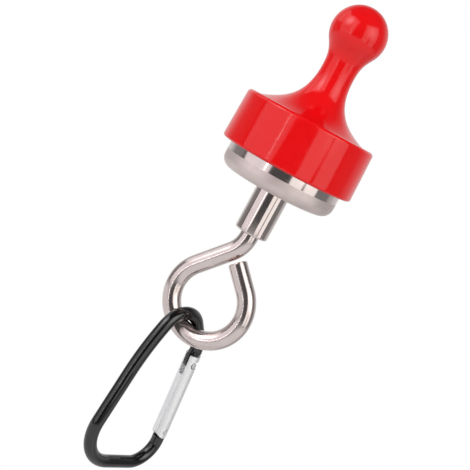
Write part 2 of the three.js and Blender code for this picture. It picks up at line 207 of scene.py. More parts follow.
def ribs():
    """Six plates from the post to the drum's wall: one box of eight corners, turned by sixths."""
    reach = [POST_RADIUS - RIB_SINK, CHAMBER_RADIUS + RIB_SINK]
    half = [-RIB_THICKNESS / 2, RIB_THICKNESS / 2]
    height = [POCKET_ROOF, CHAMBER_ROOF + RIB_SINK]
    corners = np.array([(x, y, z) for z in height for y in half for x in reach])
    sides = [(0, 2, 3, 1), (4, 5, 7, 6), (0, 1, 5, 4), (2, 6, 7, 3), (0, 4, 6, 2), (1, 3, 7, 5)]
    for sixth in np.arange(6) * np.pi / 3:
        c, s = math.cos(sixth), math.sin(sixth)
        yield corners @ np.array([(c, s, 0), (-s, c, 0), (0, 0, 1)]), sides


# Injection-moulded ABS, polished in the mould: a clear saturated red under a hard gloss. The
# moulding leaves a slow waviness that bends the highlights, and handling leaves a faint haze.
red_abs, tree, shader = finish_of("moulded_red_abs", IOR=1.49)
place = add(tree, "TexCoord").outputs["Object"]
haze = add(tree, "TexNoise", {"Vector": place, "Scale": 1000 / 3.5, "Detail": 6, "Roughness": 0.6})
tint = add(tree, "ValToRGB", {"Fac": haze.outputs["Fac"]},
           stops=[(0.3, colour("#EE080D")), (0.7, colour("#F20C12"))])
gloss = add(tree, "MapRange", {"Value": haze.outputs["Fac"], "From Min": 0.35, "From Max": 0.7,
                               "To Min": 0.09, "To Max": 0.15})
waviness = add(tree, "TexNoise", {"Vector": place, "Scale": 1000 / 7, "Detail": 1})
bump = add(tree, "Bump", {"Height": waviness.outputs["Fac"], "Strength": 0.25, "Distance": 0.0003})
wire_up(tree, shader, {"Base Color": tint.outputs["Color"], "Roughness": gloss.outputs["Result"],
                       "Normal": bump.outputs["Normal"]})

cap = piece("cap_shell_moulding", [turned(cap_profile(), CAP_FACETS), *ribs()], red_abs)
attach(cap, "cap")
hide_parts("cap_shell")


# Keeper disc
# A steel disc, punched from sheet and zinc plated, pressed into the cap so that the magnet holds
# the cap on. Its edges are slightly rounded by the punch.

KEEPER_RADIUS = 16.3
KEEPER_EDGE = 0.2
DISC_FACETS = 128


def disc(radius, low, high, edge):
    """A disc between two heights whose edges are cut off by a small chamfer."""
    return turned([(0, low), (radius - edge, low), (radius, low + edge),
                   (radius, high - edge), (radius - edge, high), (0, high)], DISC_FACETS)


# Bright zinc plate on mild steel: a cool pale metal, rather dull, with a fine directionless grain.
# The real grain is about 0.1 mm and is drawn at 0.3 mm, so that it shows.
zinc, tree, shader = finish_of("zinc_plated_steel", Metallic=1, Base_Color=colour("#E2E3E7"))
place = add(tree, "TexCoord").outputs["Object"]
grain = add(tree, "TexNoise", {"Vector": place, "Scale": 1000 / 0.3, "Detail": 3})
dull = add(tree, "MapRange", {"Value": grain.outputs["Fac"], "To Min": 0.5, "To Max": 0.64})
bump = add(tree, "Bump", {"Height": grain.outputs["Fac"], "Strength": 0.15, "Distance": 0.00003})
wire_up(tree, shader, {"Roughness": dull.outputs["Result"], "Normal": bump.outputs["Normal"]})

keeper = piece("keeper_plate", [disc(KEEPER_RADIUS, 0, POCKET_ROOF, KEEPER_EDGE)], zinc)
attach(keeper, "cap")
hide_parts("keeper_disc")


# Magnet cup
# The cup is drawn from sheet steel and nickel plated. Its wall is polished near the rim; the back
# and its rounded edge keep the satin face of the tumbling drum. The boss's spigot is riveted in
# its floor.

CUP_RADIUS = 16.05
CUP_BACK = -7.8
CUP_SHOULDER = 2.9
CUP_INSIDE = 13.65
CUP_FLOOR = -5.3
CUP_HOLE = 3.9
RIM_EDGE = 0.25
INNER_EDGE = 0.1                # the chamfer inside the rim
SATIN_TOP = -3.3                # the height at which the polished wall begins
SATIN_FADE = 0.15               # the height over which the satin ends
CUP_FACETS = 192


def cup_profile():
    """Once round the cup's wall: floor, rounded back, polished wall, rim, and back inside."""
    return np.vstack([
        [(CUP_HOLE, CUP_BACK)],
        arc((CUP_RADIUS - CUP_SHOULDER, CUP_BACK + CUP_SHOULDER), CUP_SHOULDER, -90, 0, steps=20),
        arc((CUP_RADIUS - RIM_EDGE, -RIM_EDGE), RIM_EDGE, 0, 90, steps=5),
        [(CUP_INSIDE + INNER_EDGE, 0), (CUP_INSIDE, -INNER_EDGE), (CUP_INSIDE, CUP_FLOOR),
         (CUP_HOLE, CUP_FLOOR), (CUP_HOLE, CUP_BACK)],
    ])


def nickel_plate(name, source, grain, roughness, satin=None):
    """Bright nickel over steel: a warm grey mirror. grain gives the size in millimetres of the
    polishing lines along the piece's three axes. satin is the height below which it turns dull."""
    material, tree, shader = finish_of(name, Metallic=1)
    if source == "Object":
        place = add(tree, "TexCoord").outputs["Object"]
    else:
        place = add(tree, "Attribute", attribute_name=source).outputs["Vector"]
    across = add(tree, "Mapping", {"Vector": place, "Scale": [1000 / size for size in grain]})
    lines = add(tree, "TexNoise", {"Vector": across.outputs["Vector"], "Scale": 1, "Detail": 3})
    haze = add(tree, "TexNoise", {"Vector": place, "Scale": 1000 / 4, "Detail": 3})
    tint = add(tree, "ValToRGB", {"Fac": haze.outputs["Fac"]},
               stops=[(0.3, colour("#D9CCC9")), (0.7, colour("#E1D5D2"))])
    dull = add(tree, "MapRange", {"Value": lines.outputs["Fac"], "From Min": 0.3, "From Max": 0.7,
                                  "To Min": roughness, "To Max": roughness + 0.05})
    dull = dull.outputs["Result"]
    if satin is not None:
        height = add(tree, "SeparateXYZ", {"Vector": place}).outputs["Z"]
        zone = add(tree, "MapRange", {"Value": height, "From Min": (satin - SATIN_FADE) * 0.001,
                                      "From Max": satin * 0.001, "To Min": 0.42, "To Max": 0})
        dull = add(tree, "Math", {0: dull, 1: zone.outputs["Result"]}).outputs["Value"]
    bump = add(tree, "Bump", {"Height": lines.outputs["Fac"], "Strength": 0.1, "Distance": 0.00002})
    wire_up(tree, shader, {"Base Color": tint.outputs["Color"], "Roughness": dull,
                           "Normal": bump.outputs["Normal"]})
    return material


# Polished on the lathe: the lines run round the wall, 0.2 mm apart here so that they show.
cup_nickel = nickel_plate("bright_nickel_turned", "Object", (6, 6, 0.2), 0.1, SATIN_TOP)
cup = piece("cup_drawn", [turned(cup_profile(), CUP_FACETS)], cup_nickel)
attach(cup, "magnet")
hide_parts("pot_cup")


# Magnet and its ring
# A sintered magnet disc, ground flat and nickel plated, stands in the cup a little behind its
# rim. Black epoxy is cast round it, and sinks slightly between the two walls as it sets.

MAGNET_RADIUS = 11.8
MAGNET_FACE = -0.2
MAGNET_EDGE = 0.3
RING_INSIDE = 12.1
RING_OUTSIDE = 13.35
RING_SAG = 0.15
SAG_STEPS = 8
RING_FACETS = 160

# Nickel plate on sintered powder: a greyer, duller metal with a fine pitted grain of 0.2 mm.
sintered, tree, shader = finish_of("nickel_plated_sintered_magnet", Metallic=1,
                                   Base_Color=colour("#A7A5A4"))
place = add(tree, "TexCoord").outputs["Object"]
pits = add(tree, "TexVoronoi", {"Vector": place, "Scale": 1000 / 0.2})
dull = add(tree, "MapRange", {"Value": pits.outputs["Distance"], "To Min": 0.24, "To Max": 0.4})
bump = add(tree, "Bump", {"Height": pits.outputs["Distance"], "Strength": 0.1, "Distance": 0.00002})
wire_up(tree, shader, {"Roughness": dull.outputs["Result"], "Normal": bump.outputs["Normal"]})

magnet = piece("magnet_core", [disc(MAGNET_RADIUS, CUP_FLOOR, MAGNET_FACE, MAGNET_EDGE)], sintered)
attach(magnet, "magnet")
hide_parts("magnet_disc")

# Cast epoxy: a black dielectric that sets to a soft gloss with slow ripples of about 1.5 mm.
epoxy, tree, shader = finish_of("cast_black_epoxy", IOR=1.55, Base_Color=colour("#1B1B1D"))
place = add(tree, "TexCoord").outputs["Object"]
ripple = add(tree, "TexNoise", {"Vector": place, "Scale": 1000 / 1.5, "Detail": 2})
dull = add(tree, "MapRange", {"Value": ripple.outputs["Fac"], "To Min": 0.3, "To Max": 0.55})
bump = add(tree, "Bump", {"Height": ripple.outputs["Fac"], "Strength": 0.3, "Distance": 0.0001})
wire_up(tree, shader, {"Roughness": dull.outputs["Result"], "Normal": bump.outputs["Normal"]})


def ring_profile():
    """Once round the ring's section; its face sags by a sine between the walls."""
    share = np.linspace(1, 0, SAG_STEPS + 1)
    face = np.column_stack([RING_INSIDE + (RING_OUTSIDE - RING_INSIDE) * share,
                            MAGNET_FACE - RING_SAG * np.sin(np.pi * share)])
    return np.vstack([[(RING_INSIDE, CUP_FLOOR), (RING_OUTSIDE, CUP_FLOOR)], face,
                      [(RING_INSIDE, CUP_FLOOR)]])


ring = piece("epoxy_ring", [turned(ring_profile(), RING_FACETS)], epoxy)
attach(ring, "magnet")
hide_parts("gap_ring")


# Threaded boss
# A steel boss, turned and nickel plated, whose spigot is riveted in the cup's floor. It is bored
# from below and tapped, with a plain countersunk mouth, for the eye's thread.

BOSS_RADIUS = 4.65
BOSS_END = -20.8
BOSS_EDGE = 0.5
SPIGOT_RADIUS = 3.6
BORE_RADIUS = 2.9
BORE_TOP = -9.8
MOUTH_COUNTERSINK = 0.3
THREAD_PITCH = 1
CREST_CUT = 0.15                # how far a flank overshoots its crest and root, cut flat there
TAP_DEPTH = 0.3
TAP_TOP = -10                   # the thread is cut between these two heights
TAP_END = -19.7
TAP_FADE = 0.6                  # of the thread at its two ends
TAP_RINGS = 130
BOSS_FACETS = 96


def thread(height, turn, pitch):
    """A screw's height of flank from 0 to 1: a triangle wave of the run less the turn, whose
    peaks are cut flat."""
    phase = (height / pitch - turn / (2 * np.pi)) % 1
    return np.clip((1 + 2 * CREST_CUT) * (1 - np.abs(2 * phase - 1)) - CREST_CUT, 0, 1)


def boss_parts():
    """The turned outside, and the bore as rings whose radius follows the thread where it is cut."""
    outside = np.vstack([
        arc((BOSS_RADIUS - BOSS_EDGE, BOSS_END + BOSS_EDGE), BOSS_EDGE, -90, 0, steps=6),
        [(BOSS_RADIUS, CUP_BACK), (SPIGOT_RADIUS, CUP_BACK), (SPIGOT_RADIUS, CUP_FLOOR),
         (0, CUP_FLOOR)],
    ])
    mouth = BORE_RADIUS + MOUTH_COUNTERSINK
    inside = [(0, BORE_TOP), (BORE_RADIUS, BORE_TOP)]
    run = np.linspace(TAP_TOP, TAP_END, TAP_RINGS)
    profile = np.vstack([inside, np.column_stack([np.full(run.shape, BORE_RADIUS), run]),
                         [(BORE_RADIUS, BOSS_END + MOUTH_COUNTERSINK), (mouth, BOSS_END)], outside])
    height = profile[:, 1:]
    turn = 2 * np.pi * np.arange(BOSS_FACETS) / BOSS_FACETS
    cut = np.zeros((len(profile), 1))
    cut[2:2 + len(run), 0] = np.clip(np.minimum(run - TAP_END, TAP_TOP - run) / TAP_FADE, 0, 1)
    radii = profile[:, :1] + TAP_DEPTH * cut * thread(height, turn, THREAD_PITCH)
    centres = np.column_stack([np.zeros((len(profile), 2)), profile[:, 1]])
    return swept(centres, (1, 0, 0), (0, 1, 0), radii, BOSS_FACETS)


boss_nickel = nickel_plate("bright_nickel_on_boss", "Object", (6, 6, 0.25), 0.08)
boss = piece("boss_turned", [boss_parts()], boss_nickel)
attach(boss, "magnet")
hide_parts("threaded_boss")


# Open eye
# The eye is bent from one length of nickel-plated steel wire. Its straight shank has a rolled
# thread that turns into the boss, and the loop's end is cut off square beside the leg.

EYE_WIRE = 2.6                  # radius
SHANK_TOP = -11.3
NECK_START = -21.65
NECK_BEND = 9
LEG_ANGLE = 41
TIP_ANGLE = 45
LOOP_RADIUS = 10.65
LOOP_OFFSET = 1.2
TIP_LENGTH = 7.9
CUT_EDGE = 0.3
SHANK_EDGE = 0.6
THREAD_HEIGHT = 0.25
ROLLED_SHARE = 0.3              # of the thread's height that is rolled into the blank
THREAD_END = -19.6
EYE_FACETS = 64
LINE_STEP = 0.5                 # along a wire, between its rings


def traced(start, heading, moves):
    """A wire as a bender makes it: from a start and a heading in degrees, each move is a straight
    length, or a radius and the degrees it turns by. Gives points, headings and the run so far."""
    place, angle, run = np.array(start, float), math.radians(heading), 0.0
    points, angles, runs = [place[None]], [[angle]], [[0.0]]
    for move in moves:
        if isinstance(move, tuple):
            radius, turn = move[0], math.radians(move[1])
            share = np.linspace(0, 1, max(2, math.ceil(abs(turn) * radius / LINE_STEP)) + 1)[1:]
            centre = place + math.copysign(radius, turn) * np.array([-math.sin(angle), math.cos(angle)])
            ways = angle + turn * share
            out = math.copysign(radius, turn) * np.column_stack([np.sin(ways), -np.cos(ways)])
            points.append(centre + out)
            runs.append(run + abs(turn) * radius * share)
        else:
            share = np.linspace(0, 1, max(1, math.ceil(move / LINE_STEP)) + 1)[1:]
            ways = np.full(share.shape, angle)
            points.append(place + move * share[:, None] * np.array([math.cos(angle), math.sin(angle)]))
            runs.append(run + move * share)
        angles.append(ways)
        place, angle, run = points[-1][-1], ways[-1], runs[-1][-1]
    return np.vstack(points), np.concatenate(angles), np.concatenate(runs)


def wire(line, right, origin, radius, edges, facets, relief=None):
    """A round wire along a line that lies in the upright plane through origin and right. Its ends
    are flat, with edges of the given sizes taken off. relief adds to the radius by run and turn."""
    points, angles, runs = line
    ahead = np.column_stack([np.cos(angles), np.sin(angles)])
    # The rings at the ends: which end of the line, how far on from it, and how large.
    ends = [(0, 0, 0), (0, 0, radius - edges[0]), (0, edges[0], radius)]
    ends += [(-1, -edges[1], radius), (-1, 0, radius - edges[1]), (-1, 0, 0)]
    flat = np.array([points[i] + ahead[i] * shift for i, shift, _ in ends])
    inner = slice(2, -2)
    stations = np.vstack([flat[:3], points[inner], flat[3:]])
    ways = np.concatenate([[angles[0]] * 3, angles[inner], [angles[-1]] * 3])
    run = np.concatenate([[runs[i] + shift for i, shift, _ in ends[:3]], runs[inner],
                          [runs[i] + shift for i, shift, _ in ends[3:]]])
    radii = np.concatenate([[e[2] for e in ends[:3]], np.full(len(points[inner]), radius),
                            [e[2] for e in ends[3:]]])[:, None] + np.zeros(facets)
    turn = 2 * np.pi * np.arange(facets) / facets
    if relief is not None:
        radii = np.where(radii > 0, radii + relief(run[:, None], turn), 0)
    right, up = np.array(right, float), np.array([0, 0, 1.0])
    normal = np.cross(right, up)
    forward = np.cos(ways)[:, None] * right + np.sin(ways)[:, None] * up
    sides = np.cross(normal, forward)
    centres = np.array(origin, float) + stations[:, :1] * right + stations[:, 1:] * up
    around = radii[..., None] * np.stack([np.cos(turn), np.sin(turn)], -1)
    straight = np.concatenate([around, np.broadcast_to(run[:, None, None], (*radii.shape, 1))], -1)
    return swept(centres, sides, normal, radii, facets), straight.reshape(-1, 3)


def eye_line():
    """Down the shank, round the neck's bend, down the leg, round the loop and up the cut tip."""
    lean = math.radians(LEG_ANGLE)
    legs_meet = NECK_START - NECK_BEND * math.tan(lean / 2)
    leg = (LOOP_RADIUS * math.cos(lean) + LOOP_OFFSET) / math.sin(lean)
    return traced((0, SHANK_TOP), -90, [
        SHANK_TOP - NECK_START,
        (NECK_BEND, -LEG_ANGLE),
        leg - (NECK_START - legs_meet),
        (LOOP_RADIUS, 180 + LEG_ANGLE + TIP_ANGLE),
        TIP_LENGTH,
    ])


def shank_thread(run, turn):
    """The rolled thread: it rises above the wire down to its end, and fades over its last turn."""
    height = SHANK_TOP - run
    fade = np.clip((height - THREAD_END) / THREAD_PITCH, 0, 1)
    return THREAD_HEIGHT * fade * (thread(height, turn, THREAD_PITCH) - ROLLED_SHARE)


# Wire drawn through a die before it is plated: the lines run along it, and are 0.3 mm wide here.
eye_nickel = nickel_plate("bright_nickel_on_drawn_wire", "straight", (0.5, 0.5, 25), 0.13)
shape, straight = wire(eye_line(), (1, 0, 0), (0, 0, 0), EYE_WIRE, (SHANK_EDGE, CUT_EDGE), EYE_FACETS,
                       shank_thread)
eye = piece("eye_bent", [shape], eye_nickel, straight=[straight])
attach(eye, "eye")
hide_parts("eye_hook")


# Carabiner body
# The body is bent from drawn aluminium wire and anodised black. Its two ends are milled down to
# flat tongues: the lower one is the gate's hinge and cam, the upper one carries the catch pin.

BODY_WIRE = 1.8                 # radius
BODY_WIDTH = 29.9
BODY_LENGTH = 48
CORNERS = {                     # shares of the width and the length, from the crown
    "heel": (-0.457, -0.985), "back": (-0.304, -0.243), "crown": (-0.075, 0.131),
    "shoulder": (0.359, -0.165), "toe": (0.542, -0.9993),
}
BENDS = {"toe": 6.9, "heel": 11.4, "back": 70, "crown": 7.2, "shoulder": 9.65}
NOSE_LAND = 0.1
GATE_LENGTH = 27.2
HINGE_INSET = 2.2
NOSE_GAP = 0.4
HEEL_GAP = 0.3
GATE_RADIUS = 2.2
TONGUE = 1.0                    # thickness
TONGUE_LENGTH = 4.3
TONGUE_SPREAD = 2.6             # of wire above the gate over which the nose spreads
SPREAD_DRAW = 0.9               # how far its inner side draws in over that
NOSE_SLOPE = (55, 0.9)          # of its sloping top: the way it faces, and its height past the root
NOSE_FLARE = 0.5                # how far the wire's inner side stands out at the nose
FLARE_RUN = 3
HINGE_CUT = ((-1.4, -0.7), (-0.2, -3))  # the hinge's inner edge, cut back below the rivet
TONGUE_EDGE = 0.12
TONGUE_FACETS = 144
BODY_EDGE = 0.15
BODY_FACETS = 48
CAM_RADIUS = 2
CAM_RISE = 0.4
CAM_SWEEP = 28
PIN_INSET = 2.9
REACH = GATE_LENGTH - HINGE_INSET
TIP_CENTRE = REACH - TONGUE_LENGTH + GATE_RADIUS
TINY = 1e-6                     # what is smaller counts as nothing

# The gate's own axes: out of the carabiner, across it, and along the gate from its hinge.
joints = {joint["name"]: joint for joint in frame["joints"]}
hinge = np.array(joints["gate_open"]["pos_m"]) * 1000
pin_low, pin_high = (np.array(corner) * 1000 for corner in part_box("catch_pin"))
gate_along = (pin_low + pin_high) / 2 - hinge
gate_along /= np.linalg.norm(gate_along)
gate_across = -np.array(joints["gate_open"]["axis"])
gate_out = np.cross(gate_across, gate_along)
hang = np.array(joints["carabiner_swing"]["pos_m"]) * 1000
plane_right = np.cross(gate_across, (0, 0, 1))


def bend_moves(corners, radii):
    """Corners and the radius at each inner one, as straight lengths and turns. A bend takes radius
    times the tangent of half its turn from the straight on each side; two that would meet on a
    short side are drawn in alike."""
    corners, radii = np.array(corners, float), np.array(radii, float)
    sides = np.diff(corners, axis=0)
    lengths = np.hypot(*sides.T)
    ways = np.arctan2(sides[:, 1], sides[:, 0])
    turns = (np.diff(ways) + np.pi) % (2 * np.pi) - np.pi
    takes = radii * np.tan(np.abs(turns) / 2)
    around = np.concatenate([[0], takes, [0]])
    fits = np.minimum(1, lengths / (around[:-1] + around[1:]))
    takes = takes * np.minimum(fits[:-1], fits[1:])
    radii = takes / np.tan(np.abs(turns) / 2)
    around = np.concatenate([[0], takes, [0]])
    straights = lengths - around[:-1] - around[1:]
    moves = [float(straights[0])]
    for radius, turn, straight in zip(radii, np.degrees(turns), straights[1:]):
        moves += [(float(radius), float(turn)), float(straight)]
    moves = [move for move in moves if isinstance(move, tuple) or move > TINY]
    return math.degrees(ways[0]), moves, takes


def body_line():
    """The body's centre line from the hinge's end to the nose, with the hang point as origin."""
    corner = {name: np.array([x * BODY_WIDTH, z * BODY_LENGTH]) for name, (x, z) in CORNERS.items()}
    loop = ["toe", "heel", "back", "crown", "shoulder"]
    _, _, takes = bend_moves([corner[n] for n in loop] + [corner["toe"]], [BENDS[n] for n in loop[1:]])
    along = corner["shoulder"] - corner["toe"]
    along /= np.linalg.norm(along)
    nose = corner["shoulder"] - along * (takes[3] + NOSE_LAND)
    heel_end = nose - along * (NOSE_GAP + GATE_LENGTH + HEEL_GAP)
    whole = [heel_end] + [corner[n] for n in loop] + [nose]
    heading, moves, _ = bend_moves(whole, [BENDS[n] for n in loop])
    line = traced(heel_end, heading, moves)
    outward = np.array([along[1], -along[0]])
    foot = nose - along * (NOSE_GAP + REACH) - outward * (GATE_RADIUS - BODY_WIRE)
    shift = np.array([hinge @ plane_right - hang @ plane_right, hinge[2] - hang[2]]) - foot
    return line[0] + shift, line[1], line[2]


def in_gate(points):
    """Points in the gate's own axes, placed in the carabiner."""
    points = np.asarray(points, float)
    return hinge + points[:, :1] * gate_out + points[:, 1:2] * gate_across + points[:, 2:] * gate_along


def nose_flare(length):
    """The wire's inner side swells towards the nose: by the square of how far each point faces
    inwards, times the square of the share of the last millimetres that are run."""
    def relief(run, turn):
        share = np.clip((run - length) / FLARE_RUN + 1, 0, 1)
        return NOSE_FLARE * share ** 2 * np.maximum(-np.cos(turn), 0) ** 2
    return relief


def tongue(centre, reach):
    """A flat tongue: rings of one outline, given as its distance from a centre by angle, carried
    across the thickness, with its edges taken off."""
    turn = 2 * np.pi * np.arange(TONGUE_FACETS) / TONGUE_FACETS
    outline = reach(turn)
    inner = outline - TONGUE_EDGE
    half = TONGUE / 2
    radii = np.stack([0 * outline, inner, outline, outline, inner, 0 * outline])
    levels = np.array([half, half, half - TONGUE_EDGE, TONGUE_EDGE - half, -half, -half])
    centres = np.column_stack([np.full(6, centre[0]), levels, np.full(6, centre[1])])
    points, faces = swept(centres, (1, 0, 0), (0, 0, 1), radii, TONGUE_FACETS)
    return (in_gate(points), faces), points


def sides_reach(turn, sides):
    """How far a convex outline lies from its centre at each angle: the least of the rays to its
    straight sides. A side is the angle it faces in degrees, and its distance from the centre."""
    facing, distance = np.radians([side[0] for side in sides]), np.array([side[1] for side in sides])
    slant = np.cos(turn[:, None] - facing)
    return np.where(slant > TINY, distance / np.maximum(slant, TINY), np.inf).min(1)


def side_through(a, b):
    """The side that runs from one point to the next, seen from the origin: the angle it faces and
    its distance."""
    (x, z), along = a, np.subtract(b, a)
    facing = np.array([along[1], -along[0]]) / np.hypot(*along)
    return math.degrees(math.atan2(facing[1], facing[0])), float(facing @ (x, z))


def nose_reach(turn):
    """A half disc at the tip, and above it straight sides flush with the gate, which draw in
    towards the wire on the inner side."""
    root = REACH + NOSE_GAP - TIP_CENTRE
    spread = side_through((SPREAD_DRAW - GATE_RADIUS, root + TONGUE_SPREAD), (-GATE_RADIUS, root))
    top = (NOSE_SLOPE[0], root + NOSE_SLOPE[1])
    block = sides_reach(turn, [(0, GATE_RADIUS), (180, GATE_RADIUS), top, spread])
    return np.where(turn > np.pi, GATE_RADIUS, block)


def hinge_reach(turn):
    """The hinge's outline round its rivet: a half disc above with the cam's slow spiral on its
    inner side, cut off at the wire's edge, and a block down to the body whose inner edge is cut
    back for the gate's blind side."""
    past = np.clip(turn - np.pi / 2, 0, math.radians(CAM_SWEEP))
    cam = np.where(turn <= np.pi, CAM_RADIUS + CAM_RISE * past, np.inf)
    block = [(180, -HINGE_CUT[0][0]), side_through(*HINGE_CUT), (270, -HINGE_CUT[1][1]), (0, CAM_RADIUS)]
    return np.minimum(cam, sides_reach(turn, block))


# Black anodised aluminium: dyed oxide over drawn wire. The oxide is clear and hard, so it shines
# like black glass, and the drawing lines under it break its highlights into streaks along the
# wire, 0.4 mm wide here.
anodised, tree, shader = finish_of("black_anodised_aluminium", IOR=1.7)
place = add(tree, "Attribute", attribute_name="straight").outputs["Vector"]
across = add(tree, "Mapping", {"Vector": place, "Scale": [1000 / size for size in (0.4, 0.4, 18)]})
lines = add(tree, "TexNoise", {"Vector": across.outputs["Vector"], "Scale": 1, "Detail": 4})
tint = add(tree, "ValToRGB", {"Fac": lines.outputs["Fac"]},
           stops=[(0.35, colour("#030304")), (0.7, colour("#0A0A0C"))])
dull = add(tree, "MapRange", {"Value": lines.outputs["Fac"], "From Min": 0.3, "From Max": 0.7,
                              "To Min": 0.03, "To Max": 0.09})
bump = add(tree, "Bump", {"Height": lines.outputs["Fac"], "Strength": 0.5, "Distance": 0.00006})
wire_up(tree, shader, {"Base Color": tint.outputs["Color"], "Roughness": dull.outputs["Result"],
                       "Normal": bump.outputs["Normal"]})

line = body_line()
shape, straight = wire(line, plane_right, hang, BODY_WIRE, (BODY_EDGE, BODY_EDGE), BODY_FACETS,
                       nose_flare(line[2][-1]))
nose, nose_own = tongue((0, TIP_CENTRE), nose_reach)
foot, foot_own = tongue((0, 0), hinge_reach)
body = piece("carabiner_wire", [shape, nose, foot], anodised, straight=[straight, nose_own, foot_own])
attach(body, "carabiner")
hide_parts("carabiner_body")


# Gate
# The gate is a length of bright aluminium rod. It is slotted at both ends for the tongues, bored
# for its spring, cross-drilled for the rivet, and notched at the top to hook on the catch pin.

SLOT_HALF = 0.8
UPPER_SLOT = 6.4
LOWER_SLOT = 3.1
SLOT_WALL = 1.75                # from the axis to the lower slot's blind side
NOTCH = 1.1
RIVET_HOLE = 0.8
SPRING_BORE = 1.2
BORE_ENDS = (1.9, 13.4)
SOFT_EDGE = 0.14                # of the deburred edges
CELL = 0.125                    # of the grid that the skin is worked out on
SKIN_PULLS = 4                  # times that its points are drawn onto the surface
LEAST_SLOPE = 0.2               # squared, that a pull reckons with


def crossed(a, b):
    """The deeper of two distances, with the edge between the two faces slightly rounded."""
    blend = np.maximum(SOFT_EDGE - np.abs(a - b), 0) / SOFT_EDGE
    return np.maximum(a, b) + blend ** 2 * SOFT_EDGE / 4


def gate_field(points):
    """Distance to the gate's surface: a rod with a round foot and a flat top, less two slots with
    round ends, the notch, the rivet's hole and the spring's bore. Above its round the foot stands
    out by the soft edge, so that it doesn't shave the rod's sides."""
    x, y, z = np.moveaxis(points, -1, 0)
    foot = np.hypot(x, np.minimum(z, 0)) - HINGE_INSET - SOFT_EDGE * np.clip(1 + z, 0, 1)
    solid = crossed(crossed(np.hypot(x, y) - GATE_RADIUS, z - REACH), foot)
    end = REACH - UPPER_SLOT + SLOT_HALF
    upper = np.where(z > end, np.abs(y), np.hypot(y, z - end)) - SLOT_HALF
    end = LOWER_SLOT - SLOT_HALF
    lower = np.maximum(np.where(z < end, np.abs(y), np.hypot(y, z - end)) - SLOT_HALF, -SLOT_WALL - x)
    height = z - REACH + PIN_INSET
    notch = np.where(x > 0, np.abs(height), np.hypot(x, height)) - NOTCH
    rivet = np.hypot(x, z) - RIVET_HOLE
    bore = np.maximum(np.hypot(x, y) - SPRING_BORE, np.maximum(BORE_ENDS[0] - z, z - BORE_ENDS[1]))
    for cut in (upper, lower, notch, rivet, bore):
        solid = crossed(solid, -cut)
    return solid


def slope(field, points):
    """The field's rate of change along each axis, by differences of a hundredth each way."""
    small = 0.01
    rates = [(field(points + s) - field(points - s)) / (2 * small) for s in np.eye(3) * small]
    return np.stack(rates, -1)


def skin(field, low, high, cell):
    """The surface where a field is zero. Each grid cell that it passes through gets a point, the
    mean of its crossings with the cell's edges, drawn onto it along the field's slope; each
    grid edge that it crosses gives one face between the four cells round that edge."""
    axes = [np.arange(a, b + cell, cell) for a, b in zip(low, high)]
    grid = np.stack(np.meshgrid(*axes, indexing="ij"), -1)
    value = field(grid)
    size = np.array(value.shape)
    total, count = np.zeros((*(size - 1), 3)), np.zeros(size - 1)
    corners = []
    for axis in range(3):
        near = np.moveaxis(value, axis, 0)[:-1]
        far = np.moveaxis(value, axis, 0)[1:]
        crosses = (near < 0) != (far < 0)
        share = np.where(crosses, near / np.where(crosses, near - far, 1), 0)
        place = np.moveaxis(grid, axis, 0)[:-1] + share[..., None] * cell * np.eye(3)[axis]
        sums, counts = np.moveaxis(total, axis, 0), np.moveaxis(count, axis, 0)
        for i in (slice(0, -1), slice(1, None)):
            for j in (slice(0, -1), slice(1, None)):
                sums += np.where(crosses[:, i, j, None], place[:, i, j], 0)
                counts += crosses[:, i, j]
        edge = np.argwhere(crosses[:, 1:-1, 1:-1])
        corners.append((axis, edge, near[:, 1:-1, 1:-1][tuple(edge.T)] < 0))
    number = np.full(count.shape, -1)
    used = count > 0
    number[used] = np.arange(used.sum())
    points = total[used] / count[used][:, None]
    for _ in range(SKIN_PULLS):
        away = slope(field, points)
        pull = field(points) / np.maximum((away ** 2).sum(-1), LEAST_SLOPE)
        points = points - pull[:, None] * away
    faces = []
    for axis, edge, inward in corners:
        table = np.moveaxis(number, axis, 0)
        u, v, w = edge.T
        quad = np.stack([table[u, v, w], table[u, v + 1, w],
                         table[u, v + 1, w + 1], table[u, v, w + 1]], -1)
        even = inward if axis != 1 else ~inward
        faces.append(np.where(even[:, None], quad, quad[:, ::-1]))
    return points, np.concatenate(faces)


# Bright aluminium rod, drawn and then tumbled: nearly white, half glossy, with fine grey lines
# along it. The real lines are hundredths of a millimetre, and are 0.35 mm wide here.
bright, tree, shader = finish_of("bright_drawn_aluminium", Metallic=1)
place = add(tree, "Attribute", attribute_name="straight").outputs["Vector"]
across = add(tree, "Mapping", {"Vector": place, "Scale": [1000 / size for size in (0.35, 0.35, 14)]})
lines = add(tree, "TexNoise", {"Vector": across.outputs["Vector"], "Scale": 1, "Detail": 5})
tint = add(tree, "ValToRGB", {"Fac": lines.outputs["Fac"]},
           stops=[(0.3, colour("#F2F1F8")), (0.55, colour("#FFFFFF"))])
dull = add(tree, "MapRange", {"Value": lines.outputs["Fac"], "From Min": 0.3, "From Max": 0.7,
                              "To Min": 0.56, "To Max": 0.46})
bump = add(tree, "Bump", {"Height": lines.outputs["Fac"], "Strength": 0.15, "Distance": 0.00003})
wire_up(tree, shader, {"Base Color": tint.outputs["Color"], "Roughness": dull.outputs["Result"],
                       "Normal": bump.outputs["Normal"]})

reach = GATE_RADIUS + 2 * CELL
gate_points, gate_faces = skin(gate_field, (-reach, -reach, -HINGE_INSET - 2 * CELL),
                               (reach, reach, REACH + 2 * CELL), CELL)
gate = piece("gate_slotted", [(in_gate(gate_points), gate_faces)], bright, crease=50,
             straight=[gate_points])
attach(gate, "gate")
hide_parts("gate")


# Rivet and catch pin
# Two steel pins across the gate: the hinge's rivet, peened over at both ends, goes through the
# lower tongue, and the catch pin is pressed into the upper one.

RIVET_RADIUS = 0.75
CATCH_RADIUS = 0.8
PIN_HALF = 2.2
PIN_DOME = 0.25
DOME_STEPS = 6
PIN_FACETS = 40


